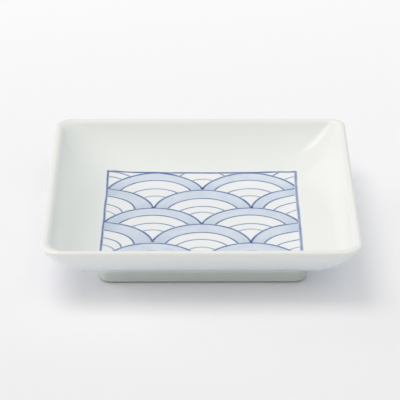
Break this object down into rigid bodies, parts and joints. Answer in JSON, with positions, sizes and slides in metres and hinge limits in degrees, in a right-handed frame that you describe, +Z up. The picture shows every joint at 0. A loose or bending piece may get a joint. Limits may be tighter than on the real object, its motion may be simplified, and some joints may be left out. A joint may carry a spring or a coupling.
{
  "type": "square plate",
  "caption": "Small square porcelain dish with flaring walls, a rounded lip and a square foot ring, its floor painted in blue with a panel of overlapping waves.",
  "frame": {"origin": "on the table, under the middle of the rim's box", "axes": "+Z up, +X to the right and +Y to the back, as the picture shows the plate"},
  "size_m": [0.105, 0.105, 0.021],
  "materials": {
    "porcelain": "glossy clear glaze with a faint blue-green tint",
    "foot_porcelain": "thin glaze, bare and matte on the sole",
    "cobalt_line": "cobalt pigment under a glossy glaze",
    "cobalt_wash": "pale cobalt wash under a glossy glaze"
  },
  "bodies": {
    "root": {"dish_body": "porcelain", "foot_ring": "foot_porcelain", "cobalt_linework": "cobalt_line", "wash_row1_left": "cobalt_wash", "wash_row1_right": "cobalt_wash", "wash_row2_left": "cobalt_wash", "wash_row2_middle": "cobalt_wash", "wash_row2_right": "cobalt_wash", "wash_row3_left": "cobalt_wash", "wash_row3_right": "cobalt_wash", "wash_row4_left": "cobalt_wash", "wash_row4_middle": "cobalt_wash", "wash_row4_right": "cobalt_wash", "wash_row5_left": "cobalt_wash", "wash_row5_right": "cobalt_wash"}
  },
  "joints": []
}
